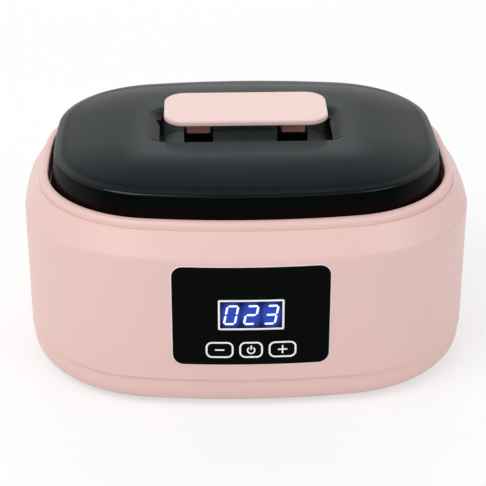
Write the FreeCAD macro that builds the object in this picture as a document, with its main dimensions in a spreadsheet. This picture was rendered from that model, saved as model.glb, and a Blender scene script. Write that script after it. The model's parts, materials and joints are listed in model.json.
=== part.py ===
import FreeCAD, Part
import math
import os
import Sketcher

doc = FreeCAD.newDocument("wax_warmer")
sheet = doc.addObject("Spreadsheet::Sheet", "dims")

SIZES = {
    # plan outline of the housing: eight tangent arcs
    "body_length": 300.0,
    "body_depth": 238.0,
    "side_bow": 506.0,
    "end_bow": 580.0,
    "corner_round": 92.0,
    # heights above the table
    "foot_proud": 2.0,
    "seam_height": 23.0,
    "wall_top": 110.5,
    "shoulder_top": 126.0,
    "rim_top": 131.5,
    "ledge_drop": 13.5,
    # housing shell
    "shell_wall": 2.6,
    "shoulder_inset": 10.0,
    "rim_inset": 16.5,
    "rim_wall": 2.6,
    "ledge_reach": 7.5,
    "ledge_thick": 2.5,
    "shoulder_round": 5.0,
    "lip_round": 3.2,
    "lip_step": 0.9,
    "well_round": 1.2,
    "seam_bevel": 0.5,
    "boss_radius": 5.0,
    "post_from_end": 37.2,
    "post_from_side": 40.6,
    "boss_gap": 3.0,
    # base cover
    "base_inset": 1.0,
    "base_round": 13.0,
    "base_floor": 2.6,
    "lip_gap": 0.3,
    "lip_height": 2.0,
    "foot_radius": 9.0,
    "foot_x": 92.0,
    "foot_y": 62.0,
    "foot_sink": 1.5,
    "foot_gap": 0.15,
    "foot_round": 0.8,
    # pot
    "gasket_thick": 1.0,
    "flange_thick": 2.0,
    "flange_gap": 0.8,
    "pot_inset": 26.0,
    "pot_wall": 2.0,
    "pot_round": 18.0,
    "stud_x": 70.0,
    "stud_radius": 2.5,
    "stud_length": 13.0,
    "stud_play": 0.2,
    "mat_thick": 1.5,
    "clamp_thick": 1.5,
    "nut_thick": 3.5,
    "nut_radius": 4.6,
    "frame_thick": 1.5,
    "frame_bar": 14.0,
    "cross_width": 24.0,
    "wrap_thick": 5.0,
    "wrap_gap": 0.3,
    "wrap_bottom": 54.0,
    "wrap_top": 108.0,
    # lid
    "lid_gap": 1.0,
    "lid_wall": 2.5,
    "lid_rest": 0.3,
    "lid_draft": 3.5,
    "lid_rise": 14.1,
    "lid_round": 2.6,
    "crown_height": 8.0,
    "crown_reach": 54.0,
    "tub_length": 133.0,
    "tub_width": 62.0,
    "tub_round": 16.0,
    "tub_taper": 16.0,
    "tub_chamfer": 5.0,
    "tub_draft": 7.0,
    "tub_lean": 1.0,
    "tub_side_draft": 4.0,
    "tub_depth": 18.1,
    "leg_x": 32.0,
    "leg_width": 16.0,
    "leg_depth": 20.0,
    "leg_sink": 9.0,
    "leg_gap": 0.2,
    "socket_wall": 1.8,
    "socket_height": 15.5,
    "handle_length": 110.0,
    "handle_width": 51.0,
    "handle_round": 14.5,
    "handle_thick": 4.0,
    "finger_gap": 8.6,
    "handle_edge": 1.6,
    "handle_under": 1.0,
    "leg_round": 2.0,
    "lid_screw_head": 3.5,
    "lid_screw_head_height": 2.2,
    "lid_screw_bite": 8.0,
    "steam_hole_radius": 1.5,
    "steam_hole_y": 9.0,
    # grille
    "grille_gap": 6.0,
    "grille_thick": 3.0,
    "grille_lift": 6.0,
    "slot_pitch": 12.0,
    "slot_width": 7.0,
    "slot_margin": 10.0,
    "grille_foot_x": 66.0,
    "grille_foot_y": 62.0,
    "grille_foot_radius": 5.0,
    # control panel
    "panel_width": 101.0,
    "panel_height": 71.0,
    "panel_z": 70.5,
    "panel_round": 7.0,
    "panel_proud": 0.4,
    "panel_thick": 1.6,
    "panel_gap": 0.25,
    "front_clear": 4.0,
    "front_reach": 16.0,
    "window_width": 39.0,
    "window_height": 18.8,
    "window_z": 71.9,
    "key_z": 46.3,
    "key_height": 12.2,
    "key_width": 18.3,
    "power_width": 15.6,
    "key_x": 20.3,
    "key_round": 4.2,
    "key_gap": 0.3,
    "key_proud": 0.4,
    "key_flange": 1.0,
    "key_flange_thick": 1.0,
    "key_seat_gap": 1.2,
    "key_stem": 1.0,
    "key_stem_radius": 1.6,
    "key_play": 0.65,
    "board_back": 11.2,
    "board_thick": 1.6,
    "board_width": 100.0,
    "board_height": 56.0,
    "board_low": 40.0,
    "board_edge": 5.5,
    "peg_radius": 3.0,
    "pilot_radius": 1.15,
    "small_shank": 1.05,
    "small_head": 2.4,
    "small_head_height": 1.6,
    "switch_side": 6.0,
    "switch_case": 3.5,
    "switch_tip": 1.7,
    # power parts
    "inlet_z": 42.0,
    "inlet_width": 49.0,
    "inlet_height": 23.0,
    "inlet_deep": 17.0,
    "inlet_plate": 2.2,
    "inlet_proud": 0.1,
    "inlet_floor": 2.6,
    "inlet_pad_width": 60.0,
    "inlet_pad_thick": 4.2,
    "inlet_pad_height": 34.0,
    "inlet_body_width": 27.0,
    "inlet_body_height": 20.0,
    "inlet_mouth_width": 24.0,
    "inlet_mouth_height": 16.6,
    "inlet_screw_x": 20.0,
    "inlet_shank": 1.25,
    "inlet_head": 2.8,
    "inlet_head_height": 1.2,
    "inlet_sink": 1.3,
    "inlet_screw_length": 7.0,
    "pin_width": 2.0,
    "pin_height": 4.4,
    "pin_length": 9.0,
    "pin_spread": 7.0,
    "power_x": 50.0,
    "power_front": 20.0,
    "power_back": 80.0,
    "post_height": 4.4,
    "transformer_x": 22.0,
    "transformer_y": 52.0,
    "transformer_length": 30.0,
    "transformer_width": 26.0,
    "transformer_height": 14.0,
    "relay_x": 10.0,
    "relay_length": 19.0,
    "relay_width": 15.0,
    "relay_height": 14.0,
    "capacitor_x": 30.0,
    "capacitor_radius": 6.0,
    "capacitor_height": 13.0,
    "row_y": 48.0,
    "terminal_length": 36.0,
    "terminal_width": 10.0,
    "terminal_height": 13.0,
    "connector_length": 14.0,
    "connector_width": 7.0,
    "connector_height": 8.0,
    "cable_x": 20.0,
    "cable_radius": 1.8,
    "cable_bend": 5.0,
    "lead_radius": 1.2,
    "lead_bend": 3.5,
    "sensor_x": 30.0,
    "sensor_y": 35.0,
    "sensor_radius": 5.0,
    "sensor_height": 6.0,
    "cutout_length": 16.0,
    "cutout_width": 6.0,
    "cutout_height": 5.0,
    "screw_shank": 1.6,
    "screw_play": 0.5,
    "screw_head": 3.8,
    "screw_head_height": 2.4,
    "screw_sink": 14.0,
    "screw_bite": 13.0,
}
for row, (alias, number) in enumerate(SIZES.items(), start=1):
    sheet.set("A%d" % row, alias)
    sheet.set("B%d" % row, str(number))
    sheet.setAlias("B%d" % row, alias)
doc.recompute()


def d(text):
    """Write a formula of named sizes as an expression on the sheet."""
    words = []
    for word in text.replace("(", " ( ").replace(")", " ) ").split():
        words.append("dims." + word if word in SIZES else word)
    return " ".join(words)


def val(text):
    return float(sheet.evalExpression(d(text)))


def new_body(label):
    body = doc.addObject("PartDesign::Body", label)
    body.Label = label
    return body


def new_sketch(body, plane, x="0", y="0", z="0"):
    support = [f for f in body.Origin.OriginFeatures if f.Role == plane][0]
    sketch = body.newObject("Sketcher::SketchObject", body.Name + "_sketch")
    sketch.AttachmentSupport = [(support, "")]
    sketch.MapMode = "FlatFace"
    sketch.setExpression("AttachmentOffset.Base.x", d(x))
    sketch.setExpression("AttachmentOffset.Base.y", d(y))
    sketch.setExpression("AttachmentOffset.Base.z", d(z))
    return sketch


def bind(sketch, constraint, name, text):
    index = sketch.addConstraint(constraint)
    sketch.renameConstraint(index, name)
    sketch.setExpression("Constraints." + name, d(text))


def corner_center():
    """Centre of the corner arc that is tangent to the side and end bows."""
    a = val("body_length / 2")
    b = val("body_depth / 2")
    side = val("side_bow")
    end = val("end_bow")
    corner = val("corner_round")
    p = (0.0, b - side)
    q = (a - end, 0.0)
    rp = side - corner
    rq = end - corner
    span = math.hypot(q[0] - p[0], q[1] - p[1])
    along = (rp * rp - rq * rq + span * span) / (2 * span)
    across = math.sqrt(rp * rp - along * along)
    ux = (q[0] - p[0]) / span
    uy = (q[1] - p[1]) / span
    one = (p[0] + along * ux + across * uy, p[1] + along * uy - across * ux)
    two = (p[0] + along * ux - across * uy, p[1] + along * uy + across * ux)
    return max(one, two)


CORNER = corner_center()


def add_oval(sketch, inset, tag=""):
    """Draw the plan outline moved inward by a formula, as eight tangent arcs."""
    off = val(inset)
    cx, cy = CORNER
    ny = val("body_depth / 2 - side_bow")
    ex = val("body_length / 2 - end_bow")
    low = math.atan2(cy, cx - ex)
    high = math.atan2(cy - ny, cx)
    side = val("side_bow") - off
    end = val("end_bow") - off
    corner = val("corner_round") - off
    half = math.pi / 2
    arcs = [
        (ex, 0, end, -low, low),
        (cx, cy, corner, low, high),
        (0, ny, side, high, math.pi - high),
        (-cx, cy, corner, math.pi - high, math.pi - low),
        (-ex, 0, end, math.pi - low, math.pi + low),
        (-cx, -cy, corner, math.pi + low, math.pi + high),
        (0, -ny, side, math.pi + high, 4 * half - high),
        (cx, -cy, corner, 4 * half - high, 4 * half - low),
    ]
    first = sketch.GeometryCount
    for x, y, radius, start, stop in arcs:
        circle = Part.Circle(FreeCAD.Vector(x, y, 0), FreeCAD.Vector(0, 0, 1), radius)
        sketch.addGeometry(Part.ArcOfCircle(circle, start, stop), False)
    g = list(range(first, first + 8))
    for i in range(8):
        sketch.addConstraint(Sketcher.Constraint("Tangent", g[i], 2, g[(i + 1) % 8], 1))
    for i in (3, 5, 7):
        sketch.addConstraint(Sketcher.Constraint("Equal", g[1], g[i]))
    sketch.addConstraint(Sketcher.Constraint("Equal", g[0], g[4]))
    sketch.addConstraint(Sketcher.Constraint("Equal", g[2], g[6]))
    for i in (0, 4):
        sketch.addConstraint(Sketcher.Constraint("PointOnObject", g[i], 3, -1))
    for i in (2, 6):
        sketch.addConstraint(Sketcher.Constraint("PointOnObject", g[i], 3, -2))
    moved = " - ( " + inset + " )"
    bind(sketch, Sketcher.Constraint("Radius", g[0], end), "end" + tag, "end_bow" + moved)
    bind(sketch, Sketcher.Constraint("Radius", g[2], side), "side" + tag, "side_bow" + moved)
    bind(sketch, Sketcher.Constraint("Radius", g[1], corner), "corner" + tag, "corner_round" + moved)
    across = "end_bow - body_length / 2"
    along = "side_bow - body_depth / 2"
    bind(sketch, Sketcher.Constraint("DistanceX", g[0], 3, -1, 1, -ex), "right" + tag, across)
    bind(sketch, Sketcher.Constraint("DistanceX", -1, 1, g[4], 3, -ex), "left" + tag, across)
    bind(sketch, Sketcher.Constraint("DistanceY", g[2], 3, -1, 1, -ny), "back" + tag, along)
    bind(sketch, Sketcher.Constraint("DistanceY", -1, 1, g[6], 3, -ny), "front" + tag, along)


def oval_sketch(body, inset, z):
    sketch = new_sketch(body, "XY_Plane", z=z)
    add_oval(sketch, inset)
    return sketch


def ring_sketch(body, outer, inner, z):
    sketch = new_sketch(body, "XY_Plane", z=z)
    add_oval(sketch, outer, "_out")
    add_oval(sketch, inner, "_in")
    return sketch


def rect_sketch(body, plane, width, height, radius, x="0", y="0", z="0"):
    """Draw a rounded rectangle about the sketch's own origin."""
    sketch = new_sketch(body, plane, x, y, z)
    w = val(width) / 2
    h = val(height) / 2
    r = val(radius)
    v = FreeCAD.Vector
    up = v(0, 0, 1)
    half = math.pi / 2
    lines = [
        (v(r - w, -h, 0), v(w - r, -h, 0)),
        (v(w, r - h, 0), v(w, h - r, 0)),
        (v(w - r, h, 0), v(r - w, h, 0)),
        (v(-w, h - r, 0), v(-w, r - h, 0)),
    ]
    centers = [(w - r, r - h), (w - r, h - r), (r - w, h - r), (r - w, r - h)]
    for i in range(4):
        sketch.addGeometry(Part.LineSegment(*lines[i]), False)
        circle = Part.Circle(v(centers[i][0], centers[i][1], 0), up, r)
        sketch.addGeometry(Part.ArcOfCircle(circle, half * (i - 1), half * i), False)
    for i in range(8):
        sketch.addConstraint(Sketcher.Constraint("Tangent", i, 2, (i + 1) % 8, 1))
    for i in (0, 4):
        sketch.addConstraint(Sketcher.Constraint("Horizontal", i))
    for i in (2, 6):
        sketch.addConstraint(Sketcher.Constraint("Vertical", i))
    for i in (3, 5, 7):
        sketch.addConstraint(Sketcher.Constraint("Equal", 1, i))
    sketch.addConstraint(Sketcher.Constraint("Symmetric", 1, 3, 5, 3, -1, 1))
    bind(sketch, Sketcher.Constraint("Radius", 1, r), "round", radius)
    bind(sketch, Sketcher.Constraint("DistanceX", 6, 1, 2, 1, 2 * w), "width", width)
    bind(sketch, Sketcher.Constraint("DistanceY", 0, 1, 4, 1, 2 * h), "height", height)
    return sketch


def disc_sketch(body, plane, radius, spots, z="0"):
    """Draw equal circles at spots given as pairs of formulas."""
    sketch = new_sketch(body, plane, z=z)
    up = FreeCAD.Vector(0, 0, 1)
    for i, (x, y) in enumerate(spots):
        sketch.addGeometry(Part.Circle(FreeCAD.Vector(val(x), val(y), 0), up, val(radius)), False)
        bind(sketch, Sketcher.Constraint("Radius", i, val(radius)), "round%d" % i, radius)
        bind(sketch, Sketcher.Constraint("DistanceX", -1, 1, i, 3, val(x)), "x%d" % i, x)
        bind(sketch, Sketcher.Constraint("DistanceY", -1, 1, i, 3, val(y)), "y%d" % i, y)
    return sketch


def pad(body, sketch, length, reverse=False):
    feature = body.newObject("PartDesign::Pad", body.Name + "_pad")
    feature.Profile = sketch
    feature.Reversed = reverse
    feature.setExpression("Length", d(length))
    doc.recompute()
    return feature


def pocket(body, sketch, length, reverse=False):
    feature = body.newObject("PartDesign::Pocket", body.Name + "_pocket")
    feature.Profile = sketch
    feature.Reversed = reverse
    feature.setExpression("Length", d(length))
    doc.recompute()
    return feature


def loft(body, kind, sketches, ruled=True):
    feature = body.newObject("PartDesign::" + kind, body.Name + "_loft")
    feature.Profile = sketches[0]
    feature.Sections = sketches[1:]
    feature.Ruled = ruled
    doc.recompute()
    return feature


def edges_at(feature, test):
    names = []
    for i, edge in enumerate(feature.Shape.Edges, start=1):
        box = edge.BoundBox
        if test(box):
            names.append("Edge%d" % i)
    return names


def fillet(body, base, names, radius):
    feature = body.newObject("PartDesign::Fillet", body.Name + "_fillet")
    feature.Base = (base, names)
    feature.setExpression("Radius", d(radius))
    doc.recompute()
    return feature


def chamfer(body, base, names, size):
    feature = body.newObject("PartDesign::Chamfer", body.Name + "_chamfer")
    feature.Base = (base, names)
    feature.setExpression("Size", d(size))
    doc.recompute()
    return feature


def flat_at(z):
    return lambda box: abs(box.ZMin - z) < 0.02 and abs(box.ZMax - z) < 0.02


def rim_at(z, inset):
    """Choose the edges of an outline level by height and by how far it is moved inward."""
    off = val(inset)
    x_max = val("body_length / 2") - off
    y_max = val("body_depth / 2") - off
    bulge = val("corner_round") - off

    def test(box):
        if abs(box.ZMin - z) > 0.02 or abs(box.ZMax - z) > 0.02:
            return False
        x = (box.XMin + box.XMax) / 2
        y = (box.YMin + box.YMax) / 2
        if abs(x) < 5:
            return abs(max(abs(box.YMin), abs(box.YMax)) - y_max) < 0.05
        if abs(y) < 5:
            return abs(max(abs(box.XMin), abs(box.XMax)) - x_max) < 0.05
        far_x = max(abs(box.XMin), abs(box.XMax))
        near_y = min(abs(box.YMin), abs(box.YMax))
        reach = math.hypot(far_x - CORNER[0], near_y - CORNER[1])
        return abs(reach - bulge) < 0.05
    return test


def place(item, x, y, z):
    item.setExpression("Placement.Base.x", d(x))
    item.setExpression("Placement.Base.y", d(y))
    item.setExpression("Placement.Base.z", d(z))


def block(label, size, center_x, center_y, bottom):
    """Make a box from three formulas, centred in plan, standing on a height."""
    item = doc.addObject("Part::Box", label)
    item.Label = label
    item.setExpression("Length", d(size[0]))
    item.setExpression("Width", d(size[1]))
    item.setExpression("Height", d(size[2]))
    place(item, "%s - ( %s ) / 2" % (center_x, size[0]), "%s - ( %s ) / 2" % (center_y, size[1]), bottom)
    return item


def rod(label, radius, length, x, y, z, axis=None):
    item = doc.addObject("Part::Cylinder", label)
    item.Label = label
    item.setExpression("Radius", d(radius))
    item.setExpression("Height", d(length))
    if axis is not None:
        item.Placement.Rotation = FreeCAD.Rotation(FreeCAD.Vector(0, 0, 1), axis)
    place(item, x, y, z)
    return item


def hexagon(label, radius, length, x, y, z):
    item = doc.addObject("Part::Prism", label)
    item.Label = label
    item.Polygon = 6
    item.setExpression("Circumradius", d(radius))
    item.setExpression("Height", d(length))
    place(item, x, y, z)
    return item


def fuse(label, items):
    joined = doc.addObject("Part::MultiFuse", label)
    joined.Label = label
    joined.Shapes = items
    joined.Refine = True
    return joined


def cut(label, base, tools):
    tool = tools[0]
    if len(tools) > 1:
        tool = doc.addObject("Part::Compound", label + "_tools")
        tool.Links = tools
    result = doc.addObject("Part::Cut", label)
    result.Label = label
    result.Base = base
    result.Tool = tool
    return result


def common(label, base, tool):
    result = doc.addObject("Part::Common", label)
    result.Label = label
    result.Base = base
    result.Tool = tool
    return result


def group(label, items):
    joined = doc.addObject("Part::Compound", label)
    joined.Label = label
    joined.Links = items
    return joined


# heights shared by several pieces
LEDGE = "( rim_top - ledge_drop )"
FLANGE_LOW = "( rim_top - ledge_drop + gasket_thick )"
FLANGE_TOP = "( rim_top - ledge_drop + gasket_thick + flange_thick )"
LID_LOW = "( rim_top - ledge_drop + gasket_thick + flange_thick + lid_rest )"
FLOOR = "( foot_proud + base_floor )"
BOSS_LOW = "( seam_height + boss_gap + frame_thick )"
POST_TOP = "( seam_height + boss_gap )"
LEDGE_INSET = "( rim_inset + ledge_reach )"
POT_LOW = "( seam_height + boss_gap + frame_thick + nut_thick + clamp_thick + mat_thick )"
CLAMP_LOW = "( seam_height + boss_gap + frame_thick + nut_thick )"
FRONT = "( body_depth / 2 )"
LID_EDGE = "( rim_top + lid_rise )"
CROWN = "( rim_top + lid_rise + crown_height )"
TUB_BEND = "( rim_top + lid_rise + crown_height - tub_chamfer )"
TUB_FLOOR = "( rim_top + lid_rise + crown_height - tub_depth )"
SOCKET_TOP = "( rim_top + lid_rise + crown_height - tub_depth + socket_height )"
LEG_LOW = "( rim_top + lid_rise + crown_height - tub_depth + socket_height - leg_sink )"
HANDLE_LOW = "( rim_top + lid_rise + crown_height + finger_gap )"
HANDLE_TOP = "( rim_top + lid_rise + crown_height + finger_gap + handle_thick )"

# screw posts stand near the four corners
POST_X = "( body_length / 2 - post_from_end )"
POST_Y = "( body_depth / 2 - post_from_side )"
POSTS = [(sx + POST_X, sy + POST_Y) for sx in ("", "-1 * ") for sy in ("", "-1 * ")]

# housing: wall, sloped shoulder and rounded lip
shell = new_body("housing_shell")
pad(shell, oval_sketch(shell, "0", "seam_height"), "wall_top - seam_height")
slope = loft(shell, "AdditiveLoft", [
    oval_sketch(shell, "0", "wall_top"),
    oval_sketch(shell, "shoulder_inset", "shoulder_top"),
])
fillet(shell, slope, edges_at(slope, flat_at(val("wall_top"))), "shoulder_round")
lip = pad(shell, oval_sketch(shell, "shoulder_inset + lip_step", "shoulder_top - 2"),
          "rim_top - shoulder_top + 2")
fillet(shell, lip, edges_at(lip, flat_at(val("rim_top"))), "lip_round")
pocket(shell, oval_sketch(shell, "shell_wall", "seam_height"), "wall_top - 2 - seam_height", True)
loft(shell, "SubtractiveLoft", [
    oval_sketch(shell, "shell_wall", "wall_top - 2"),
    oval_sketch(shell, "shoulder_inset + shell_wall * 0.7", "shoulder_top - 2.6"),
])
pad(shell, oval_sketch(shell, "rim_inset - rim_wall", LEDGE + " - ledge_thick"),
    "ledge_drop + ledge_thick - 6")
pad(shell, disc_sketch(shell, "XY_Plane", "boss_radius", POSTS, BOSS_LOW), LEDGE + " - " + BOSS_LOW)
well = pocket(shell, oval_sketch(shell, "rim_inset", "rim_top"), "ledge_drop")
fillet(shell, well, edges_at(well, rim_at(val("rim_top"), "rim_inset")), "well_round")
pocket(shell, oval_sketch(shell, LEDGE_INSET, LEDGE), "ledge_thick + 30")
pocket(shell, disc_sketch(shell, "XY_Plane", "screw_shank + 0.1", POSTS, BOSS_LOW), "screw_bite + 3", True)


def slab(label, width, height, radius, x, z, front, depth):
    """Make a rounded block whose broad face looks to the front, at a distance from the middle plane."""
    body = new_body(label)
    pad(body, rect_sketch(body, "XZ_Plane", width, height, radius, x, z, front), depth, True)
    return body


def bow(label, move):
    """Make the upright cylinder of the front bow, moved outward by a formula."""
    return rod(label, "side_bow + " + move, "200", "0", "side_bow - " + FRONT, "0")


def screw(label, head, head_height, shank, length, x, y, z, axis):
    """Make a screw whose head sits below its seat point and whose shank runs along the axis."""
    back = [" - %s * ( %s )" % (part, head_height) for part in axis]
    way = FreeCAD.Vector(*axis)
    knob = rod(label + "_head", head, head_height, x + back[0], y + back[1], z + back[2], way)
    stem = rod(label + "_shank", shank, length, x, y, z, way)
    return fuse(label, [knob, stem])


def lead(label, x, corners, bend, radius):
    """Sweep a round wire through points of one upright plane, with a round bend at each corner."""
    spots = [FreeCAD.Vector(x, y, z) for y, z in corners]
    edges = []
    start = spots[0]
    for before, here, after in zip(spots, spots[1:], spots[2:]):
        to_here = (here - before).normalize()
        to_next = (after - here).normalize()
        enter = here - to_here * bend
        leave = here + to_next * bend
        hub = enter + to_next * bend
        middle = hub - (to_next - to_here).normalize() * bend
        edges.append(Part.LineSegment(start, enter).toShape())
        edges.append(Part.Arc(enter, middle, leave).toShape())
        start = leave
    edges.append(Part.LineSegment(start, spots[-1]).toShape())
    circle = Part.makeCircle(radius, spots[0], spots[1] - spots[0])
    item = doc.addObject("Part::Feature", label)
    item.Label = label
    item.Shape = Part.Wire(edges).makePipeShell([Part.Wire([circle])], True, False)
    return item


# housing: panel recess, window, inlet seat and board posts
BOARD_FACE = "( body_depth / 2 - board_back + board_thick )"
BOARD_X = "( board_width / 2 - board_edge )"
BOARD_SPOTS = [(x, z) for x in (BOARD_X, "-1 * " + BOARD_X)
               for z in ("board_low + board_edge", "board_low + board_height - board_edge")]
BOARD_GAP = "( board_back - board_thick - shell_wall )"
OUTSIDE = "( body_depth / 2 + front_clear )"
PANEL_BACK = "( panel_proud - panel_thick )"
recess_block = slab("recess_block", "panel_width + 2 * panel_gap", "panel_height + 2 * panel_gap",
                    "panel_round + panel_gap", "0", "panel_z", OUTSIDE, "front_reach")
recess = cut("recess", recess_block, [bow("recess_bow", PANEL_BACK + " - 0.1")])
WINDOW_LOW = "( key_z - key_height / 2 - 2.5 )"
WINDOW_HIGH = "( window_z + window_height / 2 + 2.5 )"
hatch = slab("hatch", "2 * key_x + key_width + 8", WINDOW_HIGH + " - " + WINDOW_LOW, "3", "0",
             "( " + WINDOW_LOW + " + " + WINDOW_HIGH + " ) / 2", OUTSIDE, "front_reach")
inlet_back = block("inlet_back", ("inlet_pad_width", "inlet_pad_thick", "inlet_pad_height"), "0",
                   FRONT + " - shell_wall + 0.6 - inlet_pad_thick / 2", "inlet_z - inlet_pad_height / 2")
inlet_seat = slab("inlet_seat", "inlet_width + 0.4", "inlet_height + 0.4", "3.2", "0", "inlet_z",
                  "-1 * " + FRONT + " + inlet_plate - inlet_proud", "8")
inlet_hole = slab("inlet_hole", "inlet_body_width + 0.4", "inlet_body_height + 0.4", "3", "0", "inlet_z",
                  "-1 * " + FRONT + " + 12", "20")
to_back = FreeCAD.Vector(0, 1, 0)
to_front = FreeCAD.Vector(0, -1, 0)
inlet_pilots = [rod("inlet_pilot_%d" % i, "inlet_shank + 0.05", "6", x, FRONT + " - 8", "inlet_z", to_back)
                for i, x in enumerate(("inlet_screw_x", "-1 * inlet_screw_x"))]
board_posts = []
board_pilots = []
for i, (x, z) in enumerate(BOARD_SPOTS):
    foot = "-1 * " + BOARD_FACE
    board_posts.append(rod("board_post_%d" % i, "peg_radius", BOARD_GAP + " - 1.2", x, foot, z, to_front))
    board_pilots.append(rod("board_pilot_%d" % i, "pilot_radius", BOARD_GAP + " - 2.6", x, foot, z, to_front))
housing_solid = fuse("housing_solid", [shell, inlet_back] + board_posts)
housing = cut("housing", housing_solid,
              [recess, hatch, inlet_seat, inlet_hole] + inlet_pilots + board_pilots)

# base cover: rounded tray with a locating lip, screw posts, board posts and foot recesses
tray = new_body("tray_outside")
pan = pad(tray, oval_sketch(tray, "base_inset", "foot_proud"), "seam_height - foot_proud")
fillet(tray, pan, edges_at(pan, flat_at(val("foot_proud"))), "base_round")
pan_lip = pad(tray, oval_sketch(tray, "shell_wall + lip_gap", "seam_height - 1"), "lip_height + 1")
chamfer(tray, pan_lip, edges_at(pan_lip, rim_at(val("seam_height"), "base_inset")), "seam_bevel")
hollow = new_body("tray_inside")
core = pad(hollow, oval_sketch(hollow, "shell_wall + lip_gap + 1.8", FLOOR), "seam_height + lip_height")
fillet(hollow, core, edges_at(core, flat_at(val(FLOOR))), "base_round - base_floor")
FEET = [(sx + "foot_x", sy + "foot_y") for sx in ("", "-1 * ") for sy in ("", "-1 * ")]
BOARD_PEGS = [(x, y) for x in ("power_x - 5", "5 - power_x") for y in ("power_front + 5", "power_back - 5")]
tray_parts = [cut("tray_shell", tray, [hollow])]
tray_holes = []
for i, (x, y) in enumerate(POSTS):
    tall = POST_TOP + " - " + FLOOR + " + 1"
    tray_parts.append(rod("tray_post_%d" % i, "boss_radius + 1", tall, x, y, FLOOR + " - 1"))
    tray_holes.append(rod("tray_bore_%d" % i, "screw_shank + screw_play", "40", x, y, "0"))
    tray_holes.append(rod("tray_sink_%d" % i, "screw_head + 0.4", "screw_sink", x, y, "0"))
for i, (x, y) in enumerate(BOARD_PEGS):
    tray_parts.append(rod("tray_peg_%d" % i, "peg_radius", "post_height + 1", x, y, FLOOR + " - 1"))
    tray_holes.append(rod("tray_pilot_%d" % i, "pilot_radius", "post_height + 1", x, y, FLOOR))
for i, (x, y) in enumerate(FEET):
    tray_holes.append(rod("tray_foot_%d" % i, "foot_radius + foot_gap", "foot_proud + foot_sink", x, y, "0"))
base_cover = cut("base_cover", fuse("tray_solid", tray_parts), tray_holes)

feet = new_body("rubber_feet")
feet.AllowCompound = True
pads = pad(feet, disc_sketch(feet, "XY_Plane", "foot_radius", FEET, "0"), "foot_proud + foot_sink")
fillet(feet, pads, edges_at(pads, flat_at(0.0)), "foot_round")

UP = (0, 0, 1)
base_screws = group("base_screws", [
    screw("base_screw_%d" % i, "screw_head", "screw_head_height", "screw_shank",
          BOSS_LOW + " - screw_sink + screw_bite", x, y, "screw_sink", UP)
    for i, (x, y) in enumerate(POSTS)])

# pot with a flange that hangs on the ledge, two studs below
tub = new_body("pot_outside")
pad(tub, oval_sketch(tub, "rim_inset + flange_gap", FLANGE_LOW), "flange_thick")
tank = pad(tub, oval_sketch(tub, "pot_inset", POT_LOW), FLANGE_LOW + " - " + POT_LOW + " + 1")
fillet(tub, tank, edges_at(tank, flat_at(val(POT_LOW))), "pot_round")
STUDS = [("stud_x", "0"), ("-1 * stud_x", "0")]
pad(tub, disc_sketch(tub, "XY_Plane", "stud_radius", STUDS, POT_LOW + " - stud_length"), "stud_length + 1")
bowl = new_body("pot_inside")
bowl_core = pad(bowl, oval_sketch(bowl, "pot_inset + pot_wall", POT_LOW + " + pot_wall"),
                FLANGE_TOP + " - " + POT_LOW)
fillet(bowl, bowl_core, edges_at(bowl_core, flat_at(val(POT_LOW + " + pot_wall"))), "pot_round - pot_wall")
pot = cut("inner_pot", tub, [bowl])

gasket = new_body("pot_gasket")
pad(gasket, ring_sketch(gasket, "rim_inset + 1", LEDGE_INSET + " - 0.5", LEDGE), "gasket_thick")

mat = new_body("heater_mat")
pad(mat, oval_sketch(mat, "pot_inset + pot_round + 3", CLAMP_LOW + " + clamp_thick"), "mat_thick")
pocket(mat, disc_sketch(mat, "XY_Plane", "stud_radius + stud_play", STUDS, POT_LOW + " + 1"), "mat_thick + 2")

clamp = new_body("clamp_plate")
pad(clamp, oval_sketch(clamp, "pot_inset + pot_round + 6", CLAMP_LOW), "clamp_thick")
pocket(clamp, disc_sketch(clamp, "XY_Plane", "stud_radius + stud_play", STUDS, POT_LOW + " + 1"),
       "clamp_thick + mat_thick + 2")

nuts = []
for i, (x, y) in enumerate(STUDS):
    for j, z in enumerate((CLAMP_LOW + " - nut_thick", POST_TOP + " - nut_thick")):
        tag = "stud_nut_%d%d" % (i, j)
        nut = hexagon(tag + "_body", "nut_radius", "nut_thick", x, y, z)
        bore = rod(tag + "_bore", "stud_radius + 0.1", "nut_thick + 2", x, y, z + " - 1")
        nuts.append(cut(tag, nut, [bore]))
stud_nuts = group("stud_nuts", nuts)

bars = [block("frame_side_%d" % i, ("frame_bar", "2 * " + POST_Y, "frame_thick"), x, "0", POST_TOP)
        for i, x in enumerate((POST_X, "-1 * " + POST_X))]
bars.append(block("frame_cross", ("2 * " + POST_X, "cross_width", "frame_thick"), "0", "0", POST_TOP))
frame_holes = []
for i, (x, y) in enumerate(POSTS):
    bars.append(rod("frame_ear_%d" % i, "frame_bar / 2", "frame_thick", x, y, POST_TOP))
    frame_holes.append(rod("frame_hole_%d" % i, "screw_shank + screw_play", "10", x, y, POST_TOP + " - 4"))
frame_holes += [rod("frame_bore_%d" % i, "stud_radius + stud_play", "10", x, y, POST_TOP + " - 4")
                for i, (x, y) in enumerate(STUDS)]
pot_frame = cut("pot_frame", fuse("frame_plate", bars), frame_holes)

wrap = new_body("insulation_wrap")
pad(wrap, ring_sketch(wrap, "pot_inset - wrap_gap - wrap_thick", "pot_inset - wrap_gap", "wrap_bottom"),
    "wrap_top - wrap_bottom")

sensor = rod("temperature_sensor", "sensor_radius", "sensor_height", "-1 * sensor_x", "-1 * sensor_y",
             CLAMP_LOW + " - sensor_height")
fuse_box = block("thermal_fuse", ("cutout_length", "cutout_width", "cutout_height"), "sensor_x",
                 "-1 * sensor_y", CLAMP_LOW + " - cutout_height")

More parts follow.
